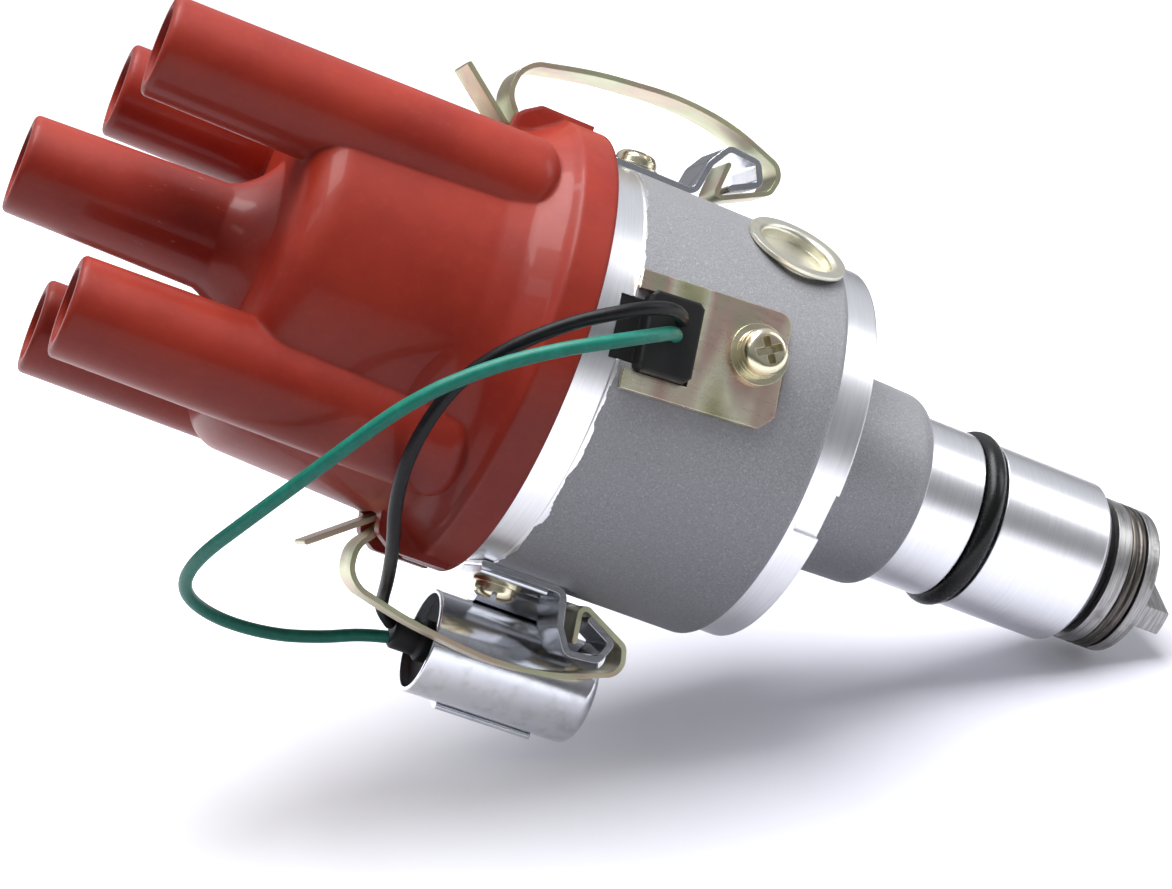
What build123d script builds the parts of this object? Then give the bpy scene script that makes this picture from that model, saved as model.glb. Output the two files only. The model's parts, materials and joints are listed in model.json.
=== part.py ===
from build123d import *
import os
from math import atan2, cos, degrees, hypot, radians, sin, tan

# Contact breaker ignition distributor for a four cylinder engine, in millimetres.
# +Z runs along the drive shaft towards the cap. The origin is on the shaft axis,
# in the plane of the cast neck's underside.
# The two cap clips lie in the XZ plane.

# Fits between pieces
seat_gap = 0.02
running_gap = 0.05
free_gap = 0.3

# Shank, neck and flange of the housing
shank_radius = 13.5
shank_length = 33.3
shank_chamfer = 1.0
seal_drop = 11.5
seal_section = 3.8
seal_stand_out = 1.0
seal_groove_width = 4.4
neck_radius = 15.7
neck_height = 20.3
neck_round = 3.5
neck_spread = 0.6
neck_blend = 1.5
flange_set_back = 1.65
flange_height = 5.3
flange_slot_width = 7.0
flange_slot_height = 4.2
flange_slot_depth = 1.3
flange_slot_azimuth = -111.6

# Bowl of the housing
bowl_radius = 31.75
bowl_height = 39.7
bowl_wall = 3.35
bowl_base_round = 1.3
floor_thickness = 9.3
band_height = 5.8
band_step = 0.15
ledge_width = 2.2
ledge_height = 16.9
ledge_round = 1.5
bracket_flat_depth = 0.35
bracket_flat_width = 11.0

# Shaft, bushes and thrust washers
shaft_radius = 6.2
spindle_radius = 4.2
bush_wall = 2.3
lower_bush_length = 20.0
upper_bush_length = 18.0
washer_thickness = 0.8
lower_washer_thickness = 1.8
lower_washer_radius = 10.8
upper_washer_radius = 9.5

# Drive dog at the foot of the shaft
dog_radius = 12.0
dog_collar = 2.5
dog_groove_width = 3.1
dog_groove_depth = 1.4
dog_foot = 2.4
tang_width = 3.9
tang_height = 4.3
tang_offset = 1.4
tang_azimuth = 54.0
tang_set_in = 0.4
dog_pin_radius = 2.0
ring_wire = 1.4

# Centrifugal advance
carrier_radius = 20.6
carrier_thickness = 1.6
weight_pivot_radius = 17.0
weight_pin_radius = 7.0
weight_thickness = 4.0
weight_inner_radius = 13.0
weight_outer_radius = 19.4
weight_sweep = 118.0
weight_boss = 3.6
pivot_post_radius = 1.9
drive_pin_radius = 1.2
yoke_thickness = 1.6
yoke_width = 9.0
spring_radius = 1.5
spring_coils = 7
spring_post_radius = 0.9
spring_post_azimuth = 150.0
spring_post_circle = 17.4
weight_post_azimuth = 96.0
weight_post_circle = 15.6

# Cam
cam_hub_radius = 7.3
cam_flat = 9.6
cam_lobe_radius = 10.1
cam_lobe_height = 7.0
cam_top_height = 8.5
cam_recess_radius = 5.2
cam_recess_depth = 4.0
rotor_key_width = 2.4
rotor_key_height = 4.6
lobe_azimuth = -30.0

# Breaker plate and contact set
plate_thickness = 1.6
plate_hole_radius = 11.6
plate_screw_set_in = 3.2
plate_screw_azimuths = (105.0, 215.0)
screw_boss_radius = 2.6
contact_azimuth = -30.0
block_face = 10.35
contact_pivot_x = 16.0
contact_pivot_y = -13.0
contact_pad_y = 13.5
contact_gap = 0.45
contact_pad_radius = 2.0
contact_pad_thickness = 1.1
arm_width = 3.0
arm_height = 5.0
arm_lift = 3.2
contact_base_thickness = 1.2
contact_base_set_in = 7.4

# Rotor arm
rotor_azimuth = 45.0
rotor_hub_wall = 2.3
rotor_height = 22.5
rotor_set_in = 1.5
rotor_blade_width = 10.0
rotor_blade_height = 5.0
electrode_thickness = 1.2
electrode_gap = 0.7
button_radius = 2.5
button_height = 1.3

# Cap
cap_rim_overhang = 3.05
cap_rim_height = 6.6
cap_spigot_depth = 2.0
cap_spigot_wall = 1.8
cap_wall = 5.0
cap_cavity_height = 33.0
cap_foot_set_in = 1.55
cap_taper = 1.6
cap_body_height = 42.2
cap_shoulder_round = 5.5
tower_set_in = 4.95
tower_foot_radius = 8.0
tower_mouth_radius = 7.25
tower_height = 66.2
tower_foot_lift = 8.0
centre_tower_height = 77.2
centre_foot_radius = 8.2
socket_radius = 5.3
socket_depth = 21.0
turret_foot = 28.0
turret_top = 15.0
turret_height = 8.0
mouth_round = 0.8
blend_radius = 2.0
lug_width = 14.0
lug_channel = 8.4
lug_ear_rise = 2.9
lug_overhang = 2.45
lug_seat_set_in = 0.85
lug_seat_height = 9.6
lug_slope_lead = 0.9
notch_set_in = 1.9
terminal_radius = 2.6
terminal_length = 30.0
centre_terminal_radius = 3.4
centre_boss_radius = 6.0
centre_boss_height = 7.0
brush_radius = 2.2
brush_length = 12.0

# Cap clips and their brackets
clip_width = 7.0
clip_thickness = 0.8
bracket_width = 10.0
bracket_thickness = 1.0
bracket_screw_drop = 8.9
clip_nose_gap = 0.3

# Small screws and washers
screw_radius = 1.95
screw_head_radius = 3.3
screw_head_height = 2.2
screw_length = 6.0
screw_slot = 0.8
washer_radius = 3.9
small_washer = 0.7

# Lead grommet and the plate that clamps it
grommet_azimuth = -82.0
grommet_skew = 4.0
grommet_width = 11.8
grommet_drop = 16.0
grommet_height = 8.2
window_height = 10.6
grommet_lip = 1.2
grommet_stand_out = 2.9
grommet_depth = 5.2
side_flat_depth = 0.55
side_plate_width = 17.5
side_plate_drop = 6.5
side_plate_tall = 23.5
side_plate_thickness = 1.0
side_screw_shift = 1.6
side_screw_drop = 25.7
side_screw_head = 3.4
cross_width = 1.1
cross_depth = 1.6

# Access cover on the side of the bowl
cover_azimuth = -35.0
cover_lift = 8.4
cover_radius = 7.9
cover_hole_radius = 6.8
cover_thickness = 0.8
cover_dish_depth = 1.9

# Condenser beside the lower clip
can_stand_off = 13.05
can_y = 14.0
can_radius = 8.25
can_drop = 22.6
can_length = 27.5
can_wall = 0.7
can_recess = 1.6
boot_radius = 2.7
boot_foot = 0.6
boot_length = 6.3
strap_thickness = 1.0
strap_drop = 16.9
strap_width = 16.0
strap_offset = 1.6
ear_drop = 6.2
ear_width = 10.8

# Leads from the grommet to the condenser boot, each a list of hand chosen corners
lead_diameter = 2.0
green_route = [
    (4.5, -34.4, 53.2),
    (4.2, -37.5, 54.5),
    (2.8, -40.4, 57.2),
    (0.4, -42.7, 61.6),
    (-2.2, -43.6, 66.4),
    (-5.1, -43.2, 71.7),
    (-10.3, -41.6, 79.4),
    (-17.5, -39.4, 87.1),
    (-28.0, -32.0, 93.4),
    (-38.0, -21.8, 98.9),
    (-45.4, -10.6, 102.4),
    (-49.8, -1.4, 101.2),
    (-51.8, 5.6, 94.2),
    (-51.4, 10.4, 84.4),
    (-49.2, 13.0, 76.0),
    (-46.8, 13.8, 70.2),
    (-46.0, 14.0, 66.25),
]
black_route = [
    (6.9, -34.0, 52.9),
    (6.9, -37.0, 53.9),
    (6.7, -40.0, 56.8),
    (5.3, -42.0, 60.5),
    (2.8, -42.5, 65.0),
    (-0.3, -41.4, 70.0),
    (-6.2, -39.3, 76.8),
    (-13.4, -36.4, 81.8),
    (-23.0, -31.4, 83.2),
    (-29.8, -24.2, 81.0),
    (-34.6, -16.2, 77.4),
    (-37.2, -8.4, 74.9),
    (-39.0, -0.4, 72.6),
    (-41.0, 6.8, 70.7),
    (-42.7, 10.6, 69.4),
    (-43.9, 13.0, 66.7),
]

# Levels worked out from the sizes above
flange_top = neck_height + flange_height
flange_radius = bowl_radius - flange_set_back
bowl_top = flange_top + bowl_height
bowl_inner_radius = bowl_radius - bowl_wall
floor_level = neck_height + floor_thickness
plate_level = floor_level + ledge_height
plate_top = plate_level + plate_thickness
bush_radius = shaft_radius + running_gap + bush_wall
bore_radius = bush_radius + seat_gap
carrier_level = floor_level + 2 * running_gap + washer_thickness + 0.7
weight_level = carrier_level + carrier_thickness + free_gap
yoke_level = weight_level + weight_thickness + free_gap
cam_level = plate_top + 2.4
cam_lobe_top = cam_level + cam_lobe_height
cam_top = cam_lobe_top + cam_top_height
rotor_foot = cam_lobe_top + 2.0
rotor_top = rotor_foot + rotor_height
electrode_top = rotor_top + electrode_thickness
button_top = electrode_top + button_height
cavity_top = bowl_top + cap_cavity_height
body_top = bowl_top + cap_body_height
tower_top = bowl_top + tower_height
centre_top = bowl_top + centre_tower_height
brush_bottom = button_top + free_gap
brush_top = brush_bottom + brush_length
dog_top = -shank_length - 2 * running_gap - lower_washer_thickness
dog_groove_top = dog_top - dog_collar
dog_foot_top = dog_groove_top - dog_groove_width
dog_bottom = dog_foot_top - dog_foot
dog_pin_level = dog_groove_top - dog_groove_width / 2
bracket_seat = bowl_radius - bracket_flat_depth
side_seat = bowl_radius - side_flat_depth
tower_azimuths = (45.0, 135.0, 225.0, 315.0)
plate_screw_circle = bowl_inner_radius - plate_screw_set_in
contact_base_reach = bowl_inner_radius - contact_base_set_in
cap_rim_radius = bowl_radius + cap_rim_overhang
cap_foot_radius = bowl_radius - cap_foot_set_in
cap_shoulder_radius = cap_foot_radius - cap_taper
cap_cavity_radius = cap_foot_radius - cap_wall
tower_circle = bowl_radius - tower_set_in
electrode_reach = tower_circle - terminal_radius - electrode_gap
rotor_reach = electrode_reach - rotor_set_in
lug_reach = bowl_radius + lug_overhang
lug_seat_radius = bowl_radius - lug_seat_set_in
lug_seat = bowl_top + lug_seat_height
bracket_screw_height = bowl_top - bracket_screw_drop
grommet_bottom = bowl_top - grommet_drop
side_plate_top = bowl_top - side_plate_drop
side_plate_bottom = side_plate_top - side_plate_tall
side_screw_height = bowl_top - side_screw_drop
cover_height = flange_top + cover_lift
can_x = -bowl_radius - can_stand_off
can_bottom = bracket_screw_height - can_drop
boot_height = can_bottom + can_length - can_recess + boot_length
strap_bottom = bracket_screw_height - strap_drop
strap_top = strap_bottom + strap_width
ear_bottom = bracket_screw_height - ear_drop
ear_top = ear_bottom + ear_width


def turned(section, rounds=None):
    """Revolve a closed half section of (radius, height) corners, with rounded corners by number."""
    face = make_face(Polyline(*section, close=True))
    for number, radius in (rounds or {}).items():
        corner = face.vertices().sort_by_distance(Vector(*section[number]))[0]
        face = fillet(corner, radius)
    return revolve(Plane.XZ * face, Axis.Z)


def tube(outer, inner, bottom, top):
    """A plain ring about the shaft axis."""
    return turned([(inner, bottom), (outer, bottom), (outer, top), (inner, top)])


def rod(radius, bottom, top, x=0.0, y=0.0):
    """A plain upright cylinder between two levels."""
    return Pos(x, y, (bottom + top) / 2) * Cylinder(radius, top - bottom)


def block(low, high):
    """A box given by its lowest and highest corners."""
    size = [b - a for a, b in zip(low, high)]
    middle = [(a + b) / 2 for a, b in zip(low, high)]
    return Pos(*middle) * Box(*size)


def polar(radius, azimuth):
    """A point on a circle about the shaft axis."""
    return (radius * cos(radians(azimuth)), radius * sin(radians(azimuth)))


def side_place(azimuth, distance, height):
    """Local frame on the side of the bowl: x along the rim, y up, z outwards."""
    x, y = polar(distance, azimuth)
    tangent = polar(1.0, azimuth + 90.0)
    outward = polar(1.0, azimuth)
    return Plane(origin=(x, y, height), x_dir=(*tangent, 0), z_dir=(*outward, 0))


def strip(corners, radii, thickness, width):
    """A strip of sheet metal bent along corners in the XZ plane and centred on it."""
    path = FilletPolyline(*corners, radius=radii)
    outline = offset(path, amount=thickness / 2, side=Side.BOTH)
    face = Plane.XZ * make_face(outline)
    return extrude(face, amount=width / 2, both=True)


def side_kit(out, height, along=0.0):
    """Local frame on the skewed face of the grommet plate, at a level of the bowl."""
    middle = side_place(grommet_azimuth, side_seat + out, grommet_bottom)
    return middle * Rot(0, 0, grommet_skew) * Pos(along, height - grommet_bottom, 0)


def easy_bends(points):
    """Bend radii that use up most of the shorter run at each corner."""
    radii = []
    for before, corner, after in zip(points, points[1:], points[2:]):
        arriving = corner - before
        leaving = after - corner
        half_turn = arriving.get_angle(leaving) / 2
        shorter = min(arriving.length, leaving.length)
        radii.append(0.45 * shorter / tan(radians(half_turn)))
    return radii


def housing():
    """Cast body: shank, neck, flange and open bowl, with its machined flats and windows."""
    groove_top = -seal_drop + seal_groove_width / 2
    groove_bottom = -seal_drop - seal_groove_width / 2
    groove_radius = shank_radius + seal_stand_out - seal_section
    band_radius = bowl_radius - band_step
    ledge_radius = bowl_inner_radius - ledge_width
    section = [
        (bore_radius, -shank_length),
        (shank_radius - shank_chamfer, -shank_length),
        (shank_radius, -shank_length + shank_chamfer),
        (shank_radius, groove_bottom),
        (groove_radius, groove_bottom),
        (groove_radius, groove_top),
        (shank_radius, groove_top),
        (shank_radius, neck_height),
        (flange_radius, neck_height),
        (flange_radius, flange_top),
        (bowl_radius, flange_top),
        (bowl_radius, bowl_top - band_height),
        (band_radius, bowl_top - band_height),
        (band_radius, bowl_top),
        (bowl_inner_radius, bowl_top),
        (bowl_inner_radius, plate_level),
        (ledge_radius, plate_level),
        (ledge_radius, floor_level),
        (bore_radius, floor_level),
    ]
    body = turned(section, {10: bowl_base_round, 17: ledge_round}) + neck()
    slot = side_place(flange_slot_azimuth, flange_radius, neck_height)
    body -= slot * Box(flange_slot_width, 2 * flange_slot_height, 2 * flange_slot_depth)
    for azimuth in plate_screw_azimuths:
        x, y = polar(plate_screw_circle, azimuth)
        body += rod(screw_boss_radius, floor_level, plate_level, x, y)
        body -= rod(screw_radius - 0.2, plate_level - screw_length, plate_level, x, y)
    for azimuth in (0.0, 180.0):
        place = side_place(azimuth, bracket_seat, bracket_screw_height - 3.0)
        body -= place * Pos(0, 0, 2.0) * Box(bracket_flat_width, 16.0, 4.0)
        hole = side_place(azimuth, bracket_seat, bracket_screw_height)
        body -= hole * Cylinder(screw_radius, 4 * bowl_wall)
    flat = side_kit(2.0, (side_plate_bottom + side_plate_top) / 2)
    body -= flat * Box(side_plate_width + 1.0, side_plate_tall + 0.6, 4.0)
    window = side_kit(0.0, window_middle())
    body -= window * Box(grommet_width - 2 * grommet_lip, window_height, 4 * bowl_wall)
    screw = side_kit(0.0, side_screw_height, side_screw_shift)
    body -= screw * Cylinder(screw_radius, 4 * bowl_wall)
    cover = side_place(cover_azimuth, bowl_radius, cover_height)
    body -= cover * Cylinder(cover_hole_radius, 5 * bowl_wall)
    return body


def neck():
    """The neck over the shank, rounded below and blended into the flange."""
    core = shank_radius - neck_round
    inside = flange_radius - neck_blend - 2
    section = [
        (core, 0.0),
        (neck_radius, 0.0),
        (neck_radius + neck_spread, neck_height),
        (inside, neck_height),
        (inside, flange_top - 1),
        (core, flange_top - 1),
    ]
    return turned(section, {1: neck_round, 2: neck_blend})


def window_middle():
    """Level of the middle of the grommet's window, whose lower lip lies on the wall."""
    return grommet_bottom + grommet_lip + window_height / 2


def shank_seal():
    """Rubber sealing ring in the groove of the shank."""
    centre = shank_radius + seal_stand_out - seal_section / 2
    ring = Torus(centre, seal_section / 2 - seat_gap)
    return Pos(0, 0, -seal_drop) * ring


def bush(bottom, length):
    """Bronze bush pressed in the bore of the housing."""
    return tube(bush_radius, shaft_radius + running_gap, bottom, bottom + length)


def main_shaft():
    """Drive shaft with the thinner spindle that carries the cam."""
    shoulder = carrier_level + carrier_thickness
    tip = cam_top - cam_recess_depth - free_gap
    foot = dog_bottom + 1.0
    section = [
        (0.0, foot),
        (shaft_radius, foot),
        (shaft_radius, shoulder),
        (spindle_radius, shoulder),
        (spindle_radius, tip),
        (0.0, tip),
    ]
    body = turned(section)
    hole = Pos(0, 0, dog_pin_level) * Rot(0, 90, 0) * Cylinder(dog_pin_radius, 4 * dog_radius)
    return body - hole


def drive_dog():
    """Coupling with an offset tang and a groove for the wire ring over its pin."""
    groove_radius = dog_radius - dog_groove_depth
    section = [
        (shaft_radius + seat_gap, dog_top),
        (dog_radius, dog_top),
        (dog_radius, dog_groove_top),
        (groove_radius, dog_groove_top),
        (groove_radius, dog_foot_top),
        (dog_radius, dog_foot_top),
        (dog_radius, dog_bottom),
        (0.0, dog_bottom),
        (0.0, dog_bottom + 1.0 - seat_gap),
        (shaft_radius + seat_gap, dog_bottom + 1.0 - seat_gap),
    ]
    body = turned(section, {6: 0.6})
    reach = 2 * dog_radius
    low = (-reach, -tang_offset - tang_width / 2, dog_bottom - tang_height)
    high = (reach, -tang_offset + tang_width / 2, dog_bottom)
    tang = Rot(0, 0, tang_azimuth) * block(low, high)
    tang &= rod(dog_radius - tang_set_in, dog_bottom - tang_height, dog_bottom)
    hole = Pos(0, 0, dog_pin_level) * Rot(0, 90, 0) * Cylinder(dog_pin_radius, 4 * dog_radius)
    return body + tang - hole


def dog_pin():
    """Cross pin through the dog and the shaft."""
    length = 2 * (dog_radius - dog_groove_depth) - 0.8
    pin = Rot(0, 90, 0) * Cylinder(dog_pin_radius - seat_gap, length)
    return Pos(0, 0, dog_pin_level) * pin


def dog_ring():
    """Two turns of spring wire that keep the cross pin in."""
    groove_radius = dog_radius - dog_groove_depth
    centre = groove_radius + ring_wire / 2 + seat_gap
    pitch = ring_wire * 0.94
    wires = Sketch() + [Pos(centre, dog_pin_level + k * pitch / 2) * Circle(ring_wire / 2) for k in (-1, 1)]
    return revolve(Plane.XZ * wires, Axis.Z)


def advance_plate():
    """Carrier pressed on the shaft, with two pivot posts and two spring posts."""
    hub_bottom = floor_level + 2 * running_gap + washer_thickness
    bore = shaft_radius + seat_gap
    top = carrier_level + carrier_thickness
    body = tube(carrier_radius, bore, carrier_level, top)
    body += tube(upper_washer_radius - 1.0, bore, hub_bottom, carrier_level)
    for turn in (0.0, 180.0):
        x, y = polar(weight_pivot_radius, turn)
        body += rod(pivot_post_radius, top, weight_level + weight_thickness + free_gap, x, y)
        x, y = polar(spring_post_circle, turn + spring_post_azimuth)
        body += rod(spring_post_radius, top, spring_level() + spring_radius, x, y)
        x, y = polar(carrier_radius, turn + 70.0)
        body -= rod(5.0, carrier_level - 1, top + 1, x, y)
    return body


def spring_level():
    """Height of the advance springs, just above the weights."""
    return weight_level + weight_thickness + free_gap + spring_radius


def weight():
    """Advance weight about its pivot: boss, driving toe, curved mass and spring post."""
    bottom = weight_level
    top = weight_level + weight_thickness
    middle = (weight_inner_radius + weight_outer_radius) / 2
    width = weight_outer_radius - weight_inner_radius
    pivot_x = weight_pivot_radius
    mass = tube(weight_outer_radius, weight_inner_radius, bottom, top)
    mass &= sector(weight_outer_radius + 5, 4.0, weight_sweep, bottom, top)
    end_x, end_y = polar(middle, weight_sweep)
    mass += rod(width / 2, bottom, top, end_x, end_y)
    toe = block((weight_pin_radius, -1.9, bottom), (pivot_x, 1.9, top))
    toe += rod(1.9, bottom, top, weight_pin_radius, 0)
    body = mass + toe + rod(weight_boss, bottom, top, pivot_x, 0)
    body -= rod(pivot_post_radius + running_gap, bottom - 1, top + 1, pivot_x, 0)
    pin_top = yoke_level + yoke_thickness - 0.2
    body += rod(drive_pin_radius, top, pin_top, weight_pin_radius, 0)
    x, y = polar(weight_post_circle, weight_post_azimuth)
    return body + rod(spring_post_radius, top, spring_level() + spring_radius, x, y)


def sector(radius, start, end, bottom, top):
    """A pie slice of up to 180 degrees between two azimuths."""
    reach = radius / cos(radians(35.0))
    corners = [(0.0, 0.0)]
    steps = 3
    for k in range(steps + 1):
        corners.append(polar(reach, start + (end - start) * k / steps))
    face = make_face(Polyline(*corners, close=True))
    return Pos(0, 0, bottom) * extrude(face, amount=top - bottom)


def advance_spring():
    """Close wound tension spring between a weight post and a carrier post."""
    ax, ay = polar(weight_post_circle, weight_post_azimuth)
    bx, by = polar(spring_post_circle, spring_post_azimuth)
    length = hypot(bx - ax, by - ay)
    eye = spring_post_radius + 0.25
    wire = 0.5
    coil_start = eye + wire
    coil_length = length - 2 * coil_start
    pitch = coil_length / spring_coils
    inner = spring_radius - 2 * wire
    section = [(inner, 0.0)]
    for k in range(spring_coils):
        section.append((spring_radius - wire / 2, k * pitch))
        section.append((spring_radius, (k + 0.5) * pitch))
    section.append((spring_radius - wire / 2, coil_length))
    section.append((inner, coil_length))
    coil = Pos(coil_start, 0, 0) * Rot(0, 90, 0) * turned(section)
    eyes = tube(eye + wire, eye, -wire / 2, wire / 2)
    body = coil + eyes + Pos(length, 0, 0) * eyes
    body -= rod(eye, -spring_radius, spring_radius)
    body -= rod(eye, -spring_radius, spring_radius, length, 0)
    turn = degrees(atan2(by - ay, bx - ax))
    return Pos(ax, ay, spring_level()) * Rot(0, 0, turn) * body


def cam():
    """Four lobe cam with its yoke plate below and the rotor seat on top."""
    bore = spindle_radius + running_gap
    section = [
        (bore, yoke_level),
        (cam_hub_radius, yoke_level),
        (cam_hub_radius, cam_top),
        (cam_recess_radius, cam_top),
        (cam_recess_radius, cam_top - cam_recess_depth),
        (bore, cam_top - cam_recess_depth),
    ]
    body = turned(section, {2: 0.5})
    lobes = Rectangle(2 * cam_flat, 2 * cam_flat) & Circle(cam_lobe_radius)
    lobes -= Circle(bore)
    lobes = Rot(0, 0, lobe_azimuth) * lobes
    body += Pos(0, 0, cam_level) * extrude(lobes, amount=cam_lobe_height)
    yoke_reach = weight_pin_radius + 2 * drive_pin_radius + 1.6
    yoke = RectangleRounded(2 * yoke_reach, yoke_width, yoke_width * 0.4) - Circle(bore)
    slot_half = drive_pin_radius + 0.15
    slot = SlotOverall(2 * slot_half + 1.0, 2 * slot_half)
    for turn in (0.0, 180.0):
        yoke -= Pos(*polar(weight_pin_radius, turn)) * slot
    plate = Pos(0, 0, yoke_level) * extrude(yoke, amount=yoke_thickness)
    relief = Pos(0, 0, yoke_level) * tube_cut(yoke_thickness)
    body = (body - relief) + plate
    return body - rotor_key(cam_recess_radius - 1, rotor_key_width, rotor_key_height)


def tube_cut(height):
    """The part of the cam hub that gives way to the slotted yoke plate."""
    return Pos(0, 0, height / 2) * (Cylinder(cam_hub_radius + 1, height) - Cylinder(spindle_radius, height))


def rotor_key(inner, width, height):
    """Key space across one side of the cam top, towards the rotor blade."""
    key = block((inner, -width / 2, cam_top - height), (cam_hub_radius + 0.2, width / 2, cam_top + 1))
    return Rot(0, 0, rotor_azimuth) * key


def cam_felt():
    """Oiled felt plug in the top of the cam."""
    bottom = cam_top - cam_recess_depth + free_gap
    return rod(cam_recess_radius - free_gap, bottom, cam_top - 0.6)


def breaker_plate():
    """Round steel plate that carries the contact set."""
    body = tube(bowl_inner_radius - free_gap, plate_hole_radius, plate_level, plate_top)
    for azimuth in plate_screw_azimuths:
        x, y = polar(plate_screw_circle, azimuth)
        body -= rod(screw_radius, plate_level - 1, plate_top + 1, x, y)
    return body


def plate_screws():
    """Two screws through the breaker plate."""
    screws = []
    for azimuth in plate_screw_azimuths:
        x, y = polar(plate_screw_circle, azimuth)
        body = rod(screw_radius - 0.25, plate_top - 5.0, plate_top, x, y)
        body += rod(2.9, plate_top, plate_top + 1.8, x, y)
        body -= Pos(x, y, plate_top + 1.6) * Box(8.0, screw_slot, 1.0)
        screws.append(body)
    return screws


def at_contacts(shape):
    """Turn a piece of the contact set from its own frame to its azimuth on the plate."""
    return Rot(0, 0, contact_azimuth) * shape


def arm_middle():
    """Distance of the contact arm from the shaft axis."""
    return contact_pivot_x


def fixed_contact():
    """Stationary contact: base plate, pivot post and upright anvil with its pad."""
    pad_level = plate_top + arm_lift + arm_height / 2
    pad_face = arm_middle() - arm_width / 2 - contact_pad_thickness - contact_gap
    anvil_face = pad_face - contact_pad_thickness
    anvil_back = anvil_face - 1.4
    base_top = plate_top + contact_base_thickness
    base = block((13.2, -17.0, plate_top), (contact_base_reach, 9.0, base_top))
    base += block((anvil_back, 9.0, plate_top), (contact_base_reach, 17.2, base_top))
    post_top = plate_top + arm_lift + arm_height + 1.6
    post = rod(1.8, base_top, post_top, contact_pivot_x, contact_pivot_y)
    anvil = block((anvil_back, 11.0, base_top), (anvil_face, 16.0, pad_level + 2.4))
    pad = Pos((anvil_face + pad_face) / 2, contact_pad_y, pad_level) * Rot(0, 90, 0)
    pad *= Cylinder(contact_pad_radius, contact_pad_thickness)
    body = base + post + anvil + pad
    body -= rod(1.9, plate_top - 1, base_top + 1, contact_base_reach - 3.2, 4.6)
    return at_contacts(body)


def contact_screw():
    """Clamp screw of the stationary contact."""
    base_top = plate_top + contact_base_thickness
    x = contact_base_reach - 3.2
    body = rod(1.7, plate_top + 0.1, base_top, x, 4.6)
    body += rod(2.7, base_top, base_top + 1.5, x, 4.6)
    body -= Pos(x, 4.6, base_top + 1.5) * Box(8.0, screw_slot, 1.2)
    return at_contacts(body)


def contact_arm():
    """Moving contact arm that pivots on the post of the stationary contact."""
    bottom = plate_top + arm_lift
    top = bottom + arm_height
    middle = arm_middle()
    body = block((middle - arm_width / 2, contact_pivot_y, bottom), (middle + arm_width / 2, 15.6, top))
    window = block((middle - 0.9, -6.0, bottom - 1), (middle + arm_width, 9.6, top + 1))
    body = body - window
    body += rod(3.4, bottom, top, contact_pivot_x, contact_pivot_y)
    body -= rod(1.8 + running_gap, bottom - 1, top + 1, contact_pivot_x, contact_pivot_y)
    return at_contacts(body)


def rubbing_block():
    """Fibre heel of the contact arm that runs on the cam."""
    bottom = plate_top + arm_lift + 0.4
    top = bottom + arm_height - 0.8
    back = arm_middle() - arm_width / 2
    outline = [(block_face, -1.6), (block_face, 1.6), (back, 3.2), (back, -3.2)]
    face = make_face(Polyline(*outline, close=True))
    return at_contacts(Pos(0, 0, bottom) * extrude(face, amount=top - bottom))


def moving_contact():
    """Tungsten pad on the contact arm."""
    pad_level = plate_top + arm_lift + arm_height / 2
    back = arm_middle() - arm_width / 2
    pad = Rot(0, 90, 0) * Cylinder(contact_pad_radius, contact_pad_thickness)
    return at_contacts(Pos(back - contact_pad_thickness / 2, contact_pad_y, pad_level) * pad)


def contact_spring():
    """Leaf spring that presses the contact arm towards the cam."""
    bottom = plate_top + arm_lift + 0.8
    outer = arm_middle() + arm_width / 2 + 0.3
    corners = [(outer, 13.0), (outer, 11.0), (outer + 3.4, 2.0), (outer + 3.2, -9.0), (outer + 1.6, -15.6)]
    path = FilletPolyline(*corners, radius=[4.0, 8.0, 8.0])
    face = make_face(offset(path, amount=0.2, side=Side.BOTH))
    return at_contacts(Pos(0, 0, bottom) * extrude(face, amount=arm_height - 1.6))


def rotor_arm():
    """Moulded rotor: keyed hub, tapering stem and the blade that carries the electrode."""
    bore = cam_hub_radius + running_gap
    hub = cam_hub_radius + rotor_hub_wall
    blade_bottom = rotor_top - rotor_blade_height
    ceiling = cam_top + 0.3
    section = [
        (0.0, ceiling),
        (bore, ceiling),
        (bore, rotor_foot),
        (hub + 1.4, rotor_foot),
        (hub + 1.4, rotor_foot + 2.4),
        (hub, rotor_foot + 3.4),
        (hub - 1.6, blade_bottom),
        (hub + 0.6, blade_bottom + 1.0),
        (hub + 0.6, rotor_top),
        (0.0, rotor_top),
    ]
    body = turned(section)
    half = rotor_blade_width / 2
    outline = [(0, -half), (rotor_reach, -half * 0.7), (rotor_reach, half * 0.7), (0, half)]
    face = make_face(Polyline(*outline, close=True))
    blade = Pos(0, 0, blade_bottom) * extrude(face, amount=rotor_blade_height)
    rib = block((0, -1.2, rotor_foot + 3.4), (rotor_reach * 0.72, 1.2, blade_bottom + 1))
    rib -= rod(bore, rotor_foot, ceiling)
    body += Rot(0, 0, rotor_azimuth) * (blade + rib)
    tail = block((-hub - 3.0, -3.0, blade_bottom + 1.0), (0, 3.0, rotor_top))
    body += Rot(0, 0, rotor_azimuth) * tail
    key = rotor_key(cam_recess_radius + 0.1, rotor_key_width - 0.3, rotor_key_height - 0.3)
    return body + (key & rod(bore + 0.1, rotor_foot, ceiling))


def rotor_electrode():
    """Brass electrode on the rotor with the button under the carbon brush."""
    half = rotor_blade_width * 0.3
    outline = [(0, -half * 0.7), (electrode_reach - 4, -half), (electrode_reach, -half * 1.1)]
    outline += [(electrode_reach, half * 1.1), (electrode_reach - 4, half), (0, half * 0.7)]
    face = make_face(Polyline(*outline, close=True)) + Circle(button_radius + 1.2)
    body = Pos(0, 0, rotor_top) * extrude(face, amount=electrode_thickness)
    button = rod(button_radius, electrode_top, button_top)
    return Rot(0, 0, rotor_azimuth) * (body + button)


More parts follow.
